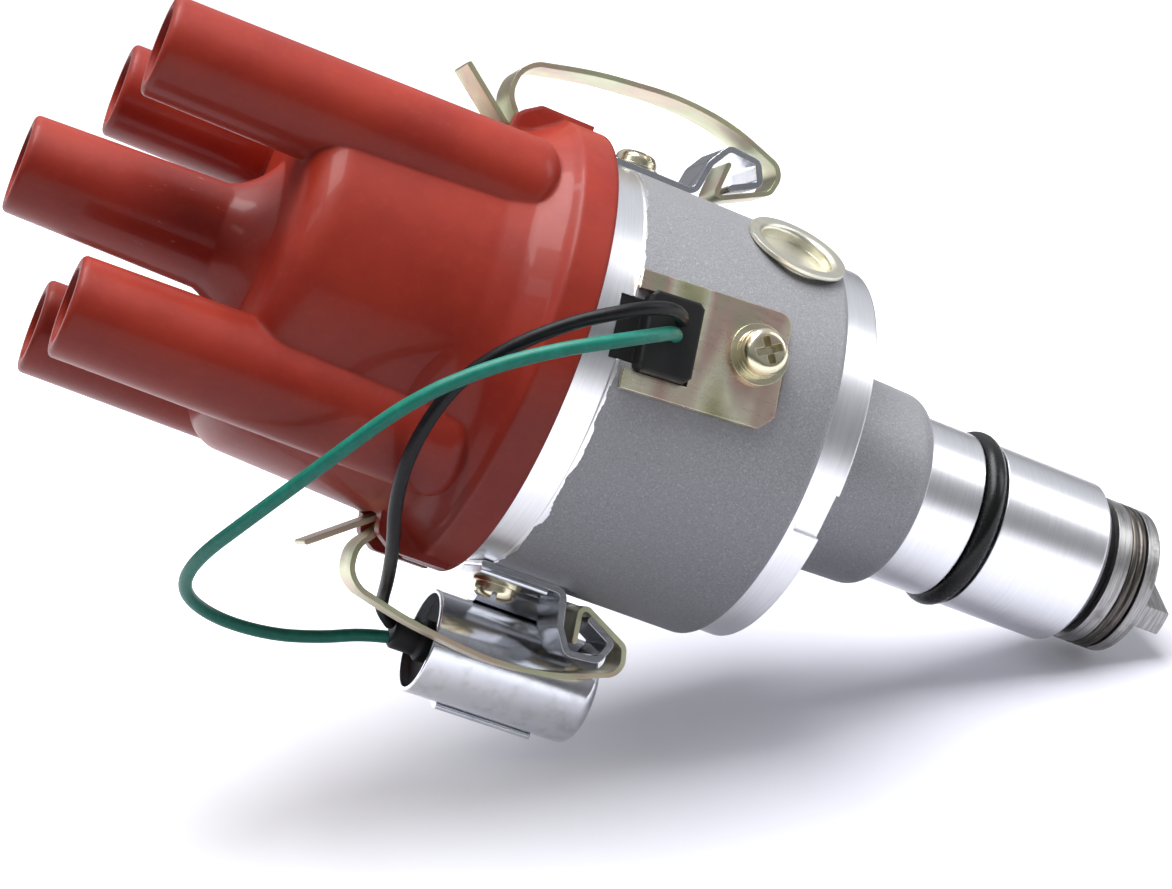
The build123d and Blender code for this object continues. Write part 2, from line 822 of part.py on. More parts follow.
def outer_tower(azimuth):
    """One plug lead tower, from its rounded foot on the rim to its mouth."""
    foot = bowl_top + tower_foot_lift
    section = [
        (0.0, foot),
        (tower_foot_radius, foot),
        (tower_mouth_radius, tower_top),
        (0.0, tower_top),
    ]
    x, y = polar(tower_circle, azimuth)
    return Pos(x, y, 0) * turned(section, {1: 3.4, 2: mouth_round})


def clip_lug():
    """Lug between two towers: a sloped channel for the nose of a clip between two ears."""
    foot = bowl_top + 1.0
    root = cap_cavity_radius + 1.0
    crest = lug_seat_radius - lug_slope_lead
    slope_end = lug_seat - (lug_reach - crest)
    channel = [(root, foot), (lug_reach, foot), (lug_reach, slope_end), (crest, lug_seat), (root, lug_seat)]
    body = extrude(Plane.XZ * make_face(Polyline(*channel, close=True)), amount=lug_width / 2, both=True)
    peak = lug_seat + lug_ear_rise
    side = lug_reach + 0.6
    ear = [(root, foot), (side, foot), (side, lug_seat), (lug_reach - 1.3, peak), (root, peak + 1.2)]
    face = make_face(Polyline(*ear, close=True))
    for number, radius in ((2, 1.6), (3, 1.4)):
        corner = face.vertices().sort_by_distance(Vector(*ear[number]))[0]
        face = fillet(corner, radius)
    ear_width = (lug_width - lug_channel) / 2
    for hand in (-1, 1):
        middle = hand * (lug_channel + ear_width) / 2
        body += Pos(0, middle, 0) * extrude(Plane.XZ * face, amount=ear_width / 2, both=True)
    return body


def clip_notch():
    """Space for the nose of a clip between the ears: a pocket in the waist, open down the slope."""
    back = lug_seat_radius - notch_set_in
    crest = lug_seat_radius - lug_slope_lead
    top = lug_seat + 7.4
    outline = [(back, lug_seat), (back, lug_seat + 2.4), (back + 3.0, top), (lug_reach, top)]
    outline += [(lug_reach, lug_seat - (lug_reach - crest)), (crest, lug_seat)]
    face = make_face(Polyline(*outline, close=True))
    corner = face.vertices().sort_by_distance(Vector(*outline[1]))[0]
    face = fillet(corner, 1.2)
    return extrude(Plane.XZ * face, amount=lug_channel / 2, both=True)


def cap_body():
    """Outside of the cap: rim, waisted body, four towers, lugs and the centre turret."""
    rim_top = bowl_top + cap_rim_height
    section = [
        (0.0, bowl_top),
        (cap_rim_radius, bowl_top),
        (cap_rim_radius, rim_top - 1.2),
        (cap_rim_radius - 1.2, rim_top),
        (cap_foot_radius + 1.0, rim_top + 3.6),
        (cap_foot_radius, rim_top + 8.0),
        (cap_shoulder_radius, body_top),
        (0.0, body_top),
    ]
    body = turned(section, {2: 0.8, 3: 2.0, 4: 4.0, 5: 6.0, 6: cap_shoulder_round})
    for azimuth in tower_azimuths:
        body += outer_tower(azimuth)
    body += turret()
    for turn in (0.0, 180.0):
        body += Rot(0, 0, turn) * clip_lug()
        body -= Rot(0, 0, turn) * clip_notch()
    return body


def turret():
    """Hollow sided square block that carries the centre tower, turned towards the outer ones."""
    faces = []
    for lift, spread in ((-0.125, 1.0), (0.19, 0.46), (0.56, 0.15), (1.0, 0.0)):
        side = turret_top + spread * (turret_foot - turret_top)
        corner = turret_top * 0.487 + spread * 1.7
        outline = Rot(0, 0, 45) * RectangleRounded(side, side, corner)
        faces.append((Pos(0, 0, body_top + lift * turret_height) * outline).face())
    return loft(faces)


def distributor_cap():
    """Moulded cap with its sockets, hollow inside and spigot in the mouth of the bowl."""
    body = cap_body()
    section = [
        (0.0, body_top - 1.0),
        (centre_foot_radius, body_top - 1.0),
        (tower_mouth_radius, centre_top),
        (0.0, centre_top),
    ]
    body += turned(section, {2: mouth_round})
    spigot_radius = bowl_inner_radius - free_gap
    body += tube(spigot_radius, spigot_radius - cap_spigot_wall, bowl_top - cap_spigot_depth, bowl_top + 1)
    hollow = [
        (0.0, bowl_top - cap_spigot_depth - 1),
        (spigot_radius - cap_spigot_wall, bowl_top - cap_spigot_depth - 1),
        (spigot_radius - cap_spigot_wall, bowl_top + 3.0),
        (cap_cavity_radius, bowl_top + 5.0),
        (cap_cavity_radius, cavity_top),
        (0.0, cavity_top),
    ]
    body -= turned(hollow, {4: 3.0})
    body += rod(centre_boss_radius, cavity_top - centre_boss_height, cavity_top + 1)
    for azimuth in tower_azimuths:
        x, y = polar(tower_circle, azimuth)
        body -= rod(socket_radius, tower_top - socket_depth, tower_top + 1, x, y)
        foot = tower_top - socket_depth - terminal_length
        body -= rod(terminal_radius + seat_gap, foot - seat_gap, tower_top - socket_depth + 1, x, y)
    body -= rod(socket_radius, centre_top - socket_depth, centre_top + 1)
    boss_foot = cavity_top - centre_boss_height
    body -= rod(centre_terminal_radius + seat_gap, boss_foot - 1, centre_top - socket_depth + 1)
    return body


def outer_terminals():
    """Four brass terminals from the sockets down to the rotor electrode's circle."""
    top = tower_top - socket_depth
    pieces = []
    for azimuth in tower_azimuths:
        x, y = polar(tower_circle, azimuth)
        body = rod(terminal_radius, top - terminal_length, top, x, y)
        body -= rod(1.6, top - 8.0, top + 1, x, y)
        pieces.append(body)
    return pieces


def centre_terminal():
    """Brass insert of the centre tower, bored from below for the carbon brush."""
    top = centre_top - socket_depth
    foot = cavity_top - centre_boss_height
    body = rod(centre_terminal_radius, foot, top)
    body -= rod(brush_radius + running_gap, foot - 1, spring_top())
    return body - rod(1.6, top - 7.0, top + 1)


def spring_top():
    """Blind end of the brush bore."""
    return brush_top + 9.0


def carbon_brush():
    """Carbon brush that rides on the rotor button."""
    section = [(0.0, brush_bottom), (brush_radius, brush_bottom), (brush_radius, brush_top), (0.0, brush_top)]
    return turned(section, {1: 0.9})


def brush_spring():
    """Small spring behind the carbon brush."""
    bottom = brush_top + 0.2
    top = spring_top() - 0.2
    coils = 5
    pitch = (top - bottom) / coils
    outer = brush_radius - 0.2
    inner = outer - 0.7
    section = [(inner, bottom)]
    for k in range(coils):
        section.append((outer - 0.3, bottom + k * pitch))
        section.append((outer, bottom + (k + 0.5) * pitch))
    section.append((outer - 0.3, top))
    section.append((inner, top))
    return turned(section)


def clip():
    """Spring clip on the +X side: pull tab, nose in the cap notch, bow and hooked foot."""
    seat = lug_seat + clip_nose_gap + clip_thickness / 2
    screw = bracket_screw_height
    corners = [
        (lug_seat_radius + 6.5, seat + 10.9),
        (lug_seat_radius - 1.3, seat + 0.9),
        (lug_seat_radius - 0.4, seat - 0.26),
        (lug_seat_radius + 4.7, seat + 3.75),
        (lug_seat_radius + 8.3, seat + 3.4),
        (lug_seat_radius + 10.4, seat + 1.4),
        (bracket_seat + 12.2, bowl_top + 2.2),
        (bracket_seat + 13.7, screw - 2.2),
        (bracket_seat + 12.9, screw - 11.8),
        (bracket_seat + 9.3, screw - 22.0),
        (bracket_seat + 5.3, screw - 21.0),
        (bracket_seat + 1.1, screw - 12.5),
        (bracket_seat + 6.9, screw - 13.2),
    ]
    radii = easy_bends([Vector(*corner) for corner in corners])
    radii[-3:] = [2.6, 1.6, 0.9]
    return strip(corners, radii, clip_thickness, clip_width)


def clip_bracket():
    """Bracket on the +X side, screwed on the bowl, whose curled lip holds a clip."""
    face = bracket_seat + bracket_thickness / 2
    screw = bracket_screw_height
    corners = [
        (face, screw + 4.2),
        (face, screw - 8.8),
        (face + 5.2, screw - 9.9),
        (face + 8.5, screw - 12.1),
        (face + 8.1, screw - 17.1),
        (face + 5.0, screw - 18.5),
        (face + 2.8, screw - 14.2),
    ]
    radii = [1.6, 1.5, 1.5, 1.2, 0.9]
    body = strip(corners, radii, bracket_thickness, bracket_width)
    hole = side_place(0.0, bracket_seat, screw)
    return body - hole * Cylinder(screw_radius + 0.1, 4 * bracket_thickness)


def pan_screw(head_radius, cross):
    """Screw in its own frame: underside of the head at the origin, head towards +z."""
    section = [
        (0.0, -screw_length),
        (screw_radius - 0.1, -screw_length),
        (screw_radius - 0.1, 0.0),
        (head_radius, 0.0),
        (head_radius, screw_head_height),
        (0.0, screw_head_height),
    ]
    body = turned(section, {4: screw_head_height * 0.6})
    depth = 1.1
    notch = Pos(0, 0, screw_head_height) * Box(2.6 * head_radius, screw_slot, 2 * depth)
    if cross:
        notch = Pos(0, 0, screw_head_height) * Box(head_radius * 1.2, cross_width, 2 * cross_depth)
        notch += Rot(0, 0, 90) * notch
        notch = Rot(0, 0, 28) * notch
    return body - notch


def bracket_stack(azimuth):
    """Height of the clamped sheet under a bracket screw: the lower one also holds the strap."""
    if azimuth == 0.0:
        return bracket_thickness
    return bracket_thickness + strap_thickness


def bracket_screws():
    """One slotted screw for each clip bracket."""
    pieces = []
    for azimuth in (0.0, 180.0):
        distance = bracket_seat + bracket_stack(azimuth) + small_washer
        place = side_place(azimuth, distance, bracket_screw_height)
        pieces.append(place * Rot(0, 0, 15) * pan_screw(screw_head_radius, False))
    return pieces


def bracket_washers():
    """A washer under each bracket screw."""
    pieces = []
    ring = Cylinder(washer_radius, small_washer) - Cylinder(screw_radius, 2 * small_washer)
    for azimuth in (0.0, 180.0):
        distance = bracket_seat + bracket_stack(azimuth) + small_washer / 2
        pieces.append(side_place(azimuth, distance, bracket_screw_height) * ring)
    return pieces


def lead_grommet():
    """Rubber block that carries the two leads through the wall of the bowl."""
    outer = Box(grommet_width, grommet_height, grommet_stand_out)
    outer = chamfer(outer.edges().filter_by(Axis.Z), 0.8)
    outer = fillet(outer.faces().sort_by(Axis.Z)[-1].edges(), 0.5)
    outer = side_kit(grommet_stand_out / 2, grommet_bottom + grommet_height / 2) * outer
    waist = Box(grommet_width - 2 * grommet_lip - 0.1, window_height - 0.1, grommet_depth)
    return outer + side_kit(-grommet_depth / 2, window_middle()) * waist


def grommet_plate():
    """Zinc plated steel plate that straddles the grommet, with one screw."""
    tall = side_plate_tall
    sheet = Pos(0, tall / 2) * Rectangle(side_plate_width, tall)
    sheet = chamfer(sheet.vertices().group_by(Axis.Y)[0].sort_by(Axis.X)[0], 2.2)
    sheet = fillet(sheet.vertices().sort_by_distance(Vector(side_plate_width / 2, 0))[0], 2.0)
    notch_foot = grommet_bottom - side_plate_bottom - 0.1
    notch_top = tall + 1
    notch = Pos(0, (notch_foot + notch_top) / 2) * Rectangle(grommet_width + 0.2, notch_top - notch_foot)
    sheet -= notch
    sheet -= Pos(side_screw_shift, side_screw_height - side_plate_bottom) * Circle(screw_radius + 0.1)
    return side_kit(0.0, side_plate_bottom) * extrude(sheet, amount=side_plate_thickness)


def plate_washers():
    """Plain washer and spring washer under the plate screw."""
    pieces = []
    level = side_plate_thickness
    for radius, thickness in ((4.5, small_washer), (3.5, 1.0)):
        ring = Cylinder(radius, thickness) - Cylinder(screw_radius, 2 * thickness)
        pieces.append(side_kit(level + thickness / 2, side_screw_height, side_screw_shift) * ring)
        level += thickness
    return pieces


def plate_screw():
    """Cross head screw of the grommet plate."""
    out = side_plate_thickness + small_washer + 1.0
    return side_kit(out, side_screw_height, side_screw_shift) * pan_screw(side_screw_head, True)


def access_cover():
    """Dished sheet steel cover pressed in a hole on the side of the bowl."""
    dish = cover_hole_radius - free_gap
    wall = cover_thickness
    section = [
        (0.0, -cover_dish_depth),
        (dish, -cover_dish_depth),
        (dish, 0.0),
        (cover_radius, 0.0),
        (cover_radius, wall),
        (dish - wall, wall),
        (dish - wall, wall - cover_dish_depth),
        (0.0, wall - cover_dish_depth),
    ]
    body = turned(section, {1: 0.9, 3: 0.3, 5: 0.9})
    return side_place(cover_azimuth, bowl_radius + 0.05, cover_height) * body


def condenser_can():
    """Drawn steel can, open at the end that faces the cap."""
    top = can_bottom + can_length
    section = [
        (0.0, can_bottom),
        (can_radius, can_bottom),
        (can_radius, top),
        (can_radius - can_wall, top),
        (can_radius - can_wall, can_bottom + can_wall),
        (0.0, can_bottom + can_wall),
    ]
    return Pos(can_x, can_y, 0) * turned(section, {1: 1.6, 2: 0.3})


def condenser_winding():
    """Wound foil that fills the can."""
    bottom = can_bottom + can_wall + free_gap
    top = can_bottom + can_length - can_recess - 1.6
    return rod(can_radius - can_wall - free_gap, bottom, top, can_x, can_y)


def condenser_insulator():
    """Insulating disc set back in the mouth of the can."""
    top = can_bottom + can_length - can_recess
    return rod(can_radius - can_wall - seat_gap, top - 1.5, top, can_x, can_y)


def condenser_boot():
    """Rubber boot where both leads enter the condenser."""
    foot = can_bottom + can_length - can_recess
    section = [
        (0.0, foot),
        (boot_radius + boot_foot, foot),
        (boot_radius + boot_foot, foot + 1.6),
        (boot_radius, foot + 2.2),
        (boot_radius, boot_height),
        (0.0, boot_height),
    ]
    return Pos(can_x, can_y, 0) * turned(section, {4: 0.7})


def condenser_strap():
    """Strap around the can whose ear lies under the lower bracket screw."""
    mid = strap_thickness / 2
    ear_x = -(bracket_seat + bracket_thickness + mid)
    wrap = can_radius + seat_gap + mid
    root = can_y - strap_offset
    corners = [(ear_x, -bracket_width / 2), (ear_x, root - 2.8), (can_x + wrap, root), (can_x + wrap, can_y)]
    leg = FilletPolyline(*corners, radius=[2.0, 1.0])
    around = CenterArc((can_x, can_y), wrap, 0, 176)
    path = Wire([*leg.edges(), *around.edges()])
    face = make_face(offset(path, amount=mid, side=Side.BOTH))
    body = Pos(0, 0, strap_bottom) * extrude(face, amount=ear_top - strap_bottom)
    split = bracket_width / 2 + 0.6
    far = -can_x + 2 * can_radius
    near = -bracket_seat + 1
    body -= block((-far, split, strap_top), (near, can_y + 2 * can_radius, ear_top + 1))
    body -= block((-far, -bracket_width, strap_bottom - 1), (near, split, ear_bottom))
    hole = side_place(180.0, bracket_seat, bracket_screw_height)
    return body - hole * Cylinder(screw_radius + 0.1, 8 * strap_thickness)


def lead(name, route):
    """A lead as a round tube of straight runs joined by the largest tangent arcs."""
    points = [Vector(*p) for p in route]
    radii = easy_bends(points)
    path = FilletPolyline(*route, radius=radii)
    start = Plane(origin=points[0], z_dir=points[1] - points[0])
    body = sweep(start * Circle(lead_diameter / 2), path=path)
    ratio = body.volume / (3.14159265 * (lead_diameter / 2) ** 2 * path.length)
    print(name, "length", round(path.length, 1), "volume ratio", round(ratio, 4))
    print("   least radius", round(min(radii), 1), "radii", [round(r, 1) for r in radii])
    return body


def save(name, *shapes):
    """Write one named piece, or a group of like pieces, as a STEP file."""
    solids = [solid for shape in shapes for solid in shape.solids()]
    whole = solids[0] if len(solids) == 1 else Compound(children=solids)
    whole.label = name
    export_step(whole, f"parts/{name}.step")


def build_housing():
    """Pieces that stay with the housing."""
    save("housing", housing())
    save("shank_seal", shank_seal())
    save("lower_bush", bush(-shank_length, lower_bush_length))
    save("upper_bush", bush(floor_level - upper_bush_length, upper_bush_length))
    washer_bore = shaft_radius + running_gap
    lower_top = -shank_length - running_gap
    lower_foot = lower_top - lower_washer_thickness
    save("lower_thrust_washer", tube(lower_washer_radius, washer_bore, lower_foot, lower_top))
    upper_bottom = floor_level + running_gap
    upper_top = upper_bottom + washer_thickness
    save("upper_thrust_washer", tube(upper_washer_radius, washer_bore, upper_bottom, upper_top))
    save("breaker_plate", breaker_plate())
    save("breaker_plate_screws", *plate_screws())
    save("fixed_contact", fixed_contact())
    save("contact_screw", contact_screw())
    save("lead_grommet", lead_grommet())
    save("grommet_plate", grommet_plate())
    save("grommet_plate_washers", *plate_washers())
    save("grommet_plate_screw", plate_screw())
    save("access_cover", access_cover())
    save("upper_clip_bracket", clip_bracket())
    save("lower_clip_bracket", Rot(0, 0, 180) * clip_bracket())
    save("bracket_screws", *bracket_screws())
    save("bracket_washers", *bracket_washers())


def build_condenser():
    """The condenser beside the bowl and the two leads that reach it."""
    save("condenser_can", condenser_can())
    save("condenser_winding", condenser_winding())
    save("condenser_insulator", condenser_insulator())
    save("condenser_boot", condenser_boot())
    save("condenser_strap", condenser_strap())
    save("green_lead", lead("green_lead", green_route))
    save("black_lead", lead("black_lead", black_route))


def build_shaft():
    """Pieces that turn with the shaft, and the advance weights on it."""
    save("main_shaft", main_shaft())
    save("drive_dog", drive_dog())
    save("dog_pin", dog_pin())
    save("dog_ring", dog_ring())
    save("advance_plate", advance_plate())
    save("advance_springs", advance_spring(), Rot(0, 0, 180) * advance_spring())
    save("advance_weight_a", weight())
    save("advance_weight_b", Rot(0, 0, 180) * weight())


def build_cam_and_contacts():
    """The cam with the rotor on it, and the moving contact."""
    save("cam", cam())
    save("cam_felt", cam_felt())
    save("rotor_arm", rotor_arm())
    save("rotor_electrode", rotor_electrode())
    save("contact_arm", contact_arm())
    save("rubbing_block", rubbing_block())
    save("moving_contact", moving_contact())
    save("contact_spring", contact_spring())


def build_cap_and_clips():
    """The cap with what is moulded in it, and the two clips that hold it."""
    save("distributor_cap", distributor_cap())
    save("outer_terminals", *outer_terminals())
    save("centre_terminal", centre_terminal())
    save("carbon_brush", carbon_brush())
    save("brush_spring", brush_spring())
    save("upper_clip", clip())
    save("lower_clip", Rot(0, 0, 180) * clip())


os.makedirs("parts", exist_ok=True)
build_housing()
build_condenser()
build_shaft()
build_cam_and_contacts()
build_cap_and_clips()
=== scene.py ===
# %% [markdown]
# # An ignition distributor on a white table
#
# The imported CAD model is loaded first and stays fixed. It gives every piece its place.
# This script then adds the camera, the table, the light and the finishes, and draws the
# two leads again as smooth curves in place of their solids.
# All lengths are metres. Z runs along the drive shaft, towards the cap.

import json
from math import radians

import bmesh
import bpy
from mathutils import Matrix, Vector


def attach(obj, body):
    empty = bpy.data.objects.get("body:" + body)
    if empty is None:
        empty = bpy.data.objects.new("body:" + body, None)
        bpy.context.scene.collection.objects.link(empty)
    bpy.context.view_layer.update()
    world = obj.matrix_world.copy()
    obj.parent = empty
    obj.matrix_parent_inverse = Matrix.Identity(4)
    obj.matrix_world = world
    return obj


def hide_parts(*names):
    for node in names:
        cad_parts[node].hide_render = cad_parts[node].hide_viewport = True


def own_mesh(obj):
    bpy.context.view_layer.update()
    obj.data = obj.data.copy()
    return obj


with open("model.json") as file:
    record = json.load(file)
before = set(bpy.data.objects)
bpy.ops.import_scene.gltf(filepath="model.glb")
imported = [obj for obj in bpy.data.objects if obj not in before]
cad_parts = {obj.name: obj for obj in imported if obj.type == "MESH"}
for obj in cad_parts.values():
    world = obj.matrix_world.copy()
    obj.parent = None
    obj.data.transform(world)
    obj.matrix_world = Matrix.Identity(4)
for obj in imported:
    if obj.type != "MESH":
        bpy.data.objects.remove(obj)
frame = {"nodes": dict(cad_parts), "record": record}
scene = bpy.context.scene
scene.view_settings.view_transform = "Standard"
millimetre = 0.001
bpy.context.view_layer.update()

# %% [markdown]
# ## The camera
#
# The photograph was taken close up with a long lens. Its ellipses give the camera: where it
# stood, which way is right, down and forward in the picture, and how long the lens is.
# Blender's camera looks along its own -Z with +Y up, so those three directions become the
# columns of its matrix with two signs turned round.

# %% Camera
picture_width = 1172
focal_pixels = 2524.6
camera_place = Vector((-59.203, -361.54, 162.327)) * millimetre
picture_right = Vector((0.308421, -0.320742, -0.895546))
picture_down = Vector((-0.942282, 0.025983, -0.333820))
picture_forward = Vector((0.130339, 0.946814, -0.294213))

camera_data = bpy.data.cameras.new("camera")
camera_data.sensor_fit = "HORIZONTAL"
camera_data.sensor_width = 36.0
camera_data.lens = focal_pixels * camera_data.sensor_width / picture_width
camera_data.clip_start, camera_data.clip_end = 0.01, 50.0
camera = bpy.data.objects.new("camera", camera_data)
turn = Matrix((picture_right, -picture_down, -picture_forward)).transposed()
camera.matrix_world = Matrix.Translation(camera_place) @ turn.to_4x4()
scene.collection.objects.link(camera)
scene.camera = camera
print("lens", round(camera_data.lens, 2), "mm")

# %% [markdown]
# ## The two leads
#
# Two thin PVC covered wires leave the grommet in the side of the bowl and run to the
# condenser's rubber boot, one green and one black. A NURBS curve with a round bevel is the
# natural way to draw a wire: it passes near each given point and never has a kink.
# The order is set only after the points are there, because it can't be higher than their
# number.

# %% Leads
lead_diameter = 2.0 * millimetre
lead_routes = {
    "green_wire": [
        (4.5, -34.4, 53.2), (4.2, -37.5, 54.5), (2.8, -40.4, 57.2), (0.4, -42.7, 61.6),
        (-2.2, -43.6, 66.4), (-5.1, -43.2, 71.7), (-10.3, -41.6, 79.4), (-17.5, -39.4, 87.1),
        (-28.0, -32.0, 93.4), (-38.0, -21.8, 98.9), (-45.4, -10.6, 102.4), (-49.8, -1.4, 101.2),
        (-51.8, 5.6, 94.2), (-51.4, 10.4, 84.4), (-49.2, 13.0, 76.0), (-46.8, 13.8, 70.2),
        (-46.0, 14.0, 66.25),
    ],
    "black_wire": [
        (6.9, -34.0, 52.9), (6.9, -37.0, 53.9), (6.7, -40.0, 56.8), (5.3, -42.0, 60.5),
        (2.8, -42.5, 65.0), (-0.3, -41.4, 70.0), (-6.2, -39.3, 76.8), (-13.4, -36.4, 81.8),
        (-23.0, -31.4, 83.2), (-29.8, -24.2, 81.0), (-34.6, -16.2, 77.4), (-37.2, -8.4, 74.9),
        (-39.0, -0.4, 72.6), (-41.0, 6.8, 70.7), (-42.7, 10.6, 69.4), (-43.9, 13.0, 66.7),
    ],
}
lead_solids = {"green_wire": "green_lead", "black_wire": "black_lead"}


def round_curve(name, points, radius):
    """A smooth round wire by the given points, which carry its radius so that its box stays slim."""
    data = bpy.data.curves.new(name, "CURVE")
    data.dimensions = "3D"
    data.bevel_depth = 1.0
    data.bevel_resolution = 6
    data.use_fill_caps = True
    line = data.splines.new("NURBS")
    line.points.add(len(points) - 1)
    for control, place in zip(line.points, points):
        control.co = (*place, 1.0)
        control.radius = radius
    line.use_endpoint_u = True
    line.order_u = 3
    line.resolution_u = 16
    wire = bpy.data.objects.new(name, data)
    scene.collection.objects.link(wire)
    return wire


leads = {}
for name, route in lead_routes.items():
    points = [Vector(p) * millimetre for p in route]
    lead = round_curve(name, points, lead_diameter / 2)
    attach(lead, "housing")
    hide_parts(lead_solids[name])
    leads[name] = lead
print("leads:", list(leads))

# %% [markdown]
# ## The table
#
# The distributor lies on its side on white paper, on its condenser and its drive end.
# The paper is a large plane that touches both. Its finish comes further down, and is clear
# when seen from behind, so that the paper never hides the object.

# %% Table
table_up = Vector((0.829, -0.254, 0.498)).normalized()
table_touch = Vector((-54.6, 14.0, 33.5)) * millimetre
table_reach = 3.0


def table_plane():
    """A large square sheet that faces the camera's side of the table."""
    mesh = bmesh.new()
    side = table_up.orthogonal().normalized()
    other = table_up.cross(side)
    corners = [(1, 1), (-1, 1), (-1, -1), (1, -1)]
    verts = [mesh.verts.new(table_touch + table_reach * (a * side + b * other)) for a, b in corners]
    face = mesh.faces.new(verts)
    face.normal_update()
    if face.normal.dot(table_up) < 0:
        face.normal_flip()
    data = bpy.data.meshes.new("table")
    mesh.to_mesh(data)
    mesh.free()
    sheet = bpy.data.objects.new("table", data)
    scene.collection.objects.link(sheet)
    return sheet


table = table_plane()

# %% [markdown]
# ## Shader arithmetic
#
# A procedural finish is a long sum of masks. Written out as nodes it is hard to read, so
# one small class wraps a socket and lets Python's own operators add the Math nodes. One
# method makes the other nodes, apart from the colour mix, whose sockets share their names.

# %% Finish and Signal
class Signal:
    """A number that varies over a surface. Arithmetic on it adds Math nodes."""

    def __init__(self, finish, socket):
        self.finish = finish
        self.socket = socket

    def maths(self, operation, first, second):
        return self.finish.node("Math", {"operation": operation}, {0: first, 1: second})

    def __add__(self, other):
        return self.maths("ADD", self, other)

    def __radd__(self, other):
        return self.maths("ADD", other, self)

    def __sub__(self, other):
        return self.maths("SUBTRACT", self, other)

    def __rsub__(self, other):
        return self.maths("SUBTRACT", other, self)

    def __mul__(self, other):
        return self.maths("MULTIPLY", self, other)

    def __rmul__(self, other):
        return self.maths("MULTIPLY", other, self)

    def __gt__(self, other):
        return self.maths("GREATER_THAN", self, other)

    def __lt__(self, other):
        return self.maths("LESS_THAN", self, other)


class Finish:
    """One material: its node tree and the main shader that its signals feed."""

    def __init__(self, name, **constants):
        self.material = bpy.data.materials.new(name)
        self.material.use_nodes = True
        self.tree = self.material.node_tree
        self.shader = self.tree.nodes["Principled BSDF"]
        for key, value in constants.items():
            socket = self.shader.inputs[key.replace("_", " ").title().replace("Ior", "IOR")]
            socket.default_value = (*value, 1.0) if isinstance(value, tuple) else value

    def node(self, kind, settings=None, inputs=None, output=0):
        """Add a node, set it up, wire or set its inputs and hand back one output."""
        made = self.tree.nodes.new("ShaderNode" + kind)
        for key, value in (settings or {}).items():
            if key == "stops":
                self.set_stops(made.color_ramp, value)
            else:
                setattr(made, key, value)
        for key, value in (inputs or {}).items():
            self.connect(made.inputs[key], value)
        return Signal(self, made.outputs[output])

    @staticmethod
    def set_stops(ramp, stops):
        """Place the colour stops of a ramp. A grey may be given as one number."""
        while len(ramp.elements) < len(stops):
            ramp.elements.new(0.5)
        for element, (place, colour) in zip(ramp.elements, stops):
            element.position = place
            shades = colour if isinstance(colour, tuple) else (colour,) * 3
            element.color = (*shades, 1.0)

    def connect(self, socket, value):
        """Link a signal to a socket, or set a plain value on it."""
        if isinstance(value, Signal):
            self.tree.links.new(value.socket, socket)
        elif isinstance(value, tuple) and len(socket.default_value) == 4:
            socket.default_value = (*value, 1.0)
        else:
            socket.default_value = value

    def feed(self, **signals):
        """Send signals to the main shader's inputs."""
        for key, value in signals.items():
            self.connect(self.shader.inputs[key.replace("_", " ").title()], value)

    def place(self):
        """The surface point in the object's own frame, in metres."""
        return self.node("TexCoord", output="Object")

    def along(self, axis):
        """One coordinate of the surface point, in metres."""
        return self.node("SeparateXYZ", None, {0: self.place()}, output=axis)

    def noise(self, size, detail=3.0, rough=0.55, stretch=(1, 1, 1)):
        """Soft noise whose patches are about the given size in metres."""
        where = self.node("Mapping", None, {"Vector": self.place(), "Scale": stretch})
        values = {"Vector": where, "Scale": 1.0 / size, "Detail": detail, "Roughness": rough}
        return self.node("TexNoise", None, values)

    def cells(self, size):
        """A random shade for each small cell of the given size in metres."""
        values = {"Vector": self.place(), "Scale": 1.0 / size}
        picked = self.node("TexVoronoi", None, values, output="Color")
        return self.node("SeparateColor", None, {0: picked})

    def ramp(self, value, stops):
        """Shades picked along a signal."""
        return self.node("ValToRGB", {"stops": stops}, {0: value}, output="Color")

    def level(self, value, low, high):
        """0 below low and 1 above high, with a soft step between."""
        settings = {"interpolation_type": "SMOOTHSTEP"}
        return self.node("MapRange", settings, {"Value": value, "From Min": low, "From Max": high})

    def blend(self, factor, first, second):
        """A colour that goes from first to second as factor goes from 0 to 1."""
        made = self.tree.nodes.new("ShaderNodeMix")
        made.data_type = "RGBA"
        self.connect(made.inputs["Factor"], factor)
        colours = [socket for socket in made.inputs if socket.type == "RGBA"]
        self.connect(colours[0], first)
        self.connect(colours[1], second)
        return Signal(self, next(socket for socket in made.outputs if socket.type == "RGBA"))

    def edges(self, radius):
        """The surface direction with every sharp edge rounded by that radius."""
        return self.node("Bevel", {"samples": 4}, {"Radius": radius})

    def relief(self, height, depth, edge=0.0):
        """Bump the surface by a 0 to 1 height, and round its edges where asked."""
        values = {"Height": height, "Distance": depth}
        if edge:
            values["Normal"] = self.edges(edge)
        self.feed(Normal=self.node("Bump", None, values))
        return self


print("shader helpers ready")

# %% [markdown]
# ## White paper
#
# The paper is plain white, so the lamps alone would leave it a pale grey with the object's
# shadow on it. Further from a chosen point under the object it glows a little to the eye and
# in reflections, until it is as white as the wall behind. Near that point the glow stays faint,
# which paints a soft, slightly violet shade round the object on top of its real shadow. Light
# that bounces off the paper is kept low, so the undersides stay deep in colour.

# %% Paper
paper_white = (0.80, 0.80, 0.86)
paper_glow = (1.0, 1.0, 1.0)
paper_near_painted_shade = (0.12, 0.12, 0.13)
paper_bounce = (0.22, 0.22, 0.25)
glow_start, glow_full = 30 * millimetre, 180 * millimetre
# Painted shade: the paper's glow is faint near this point, so the floor round the object is painted darker.
painted_shade_middle = Vector((-25.0, 5.0, -20.0)) * millimetre


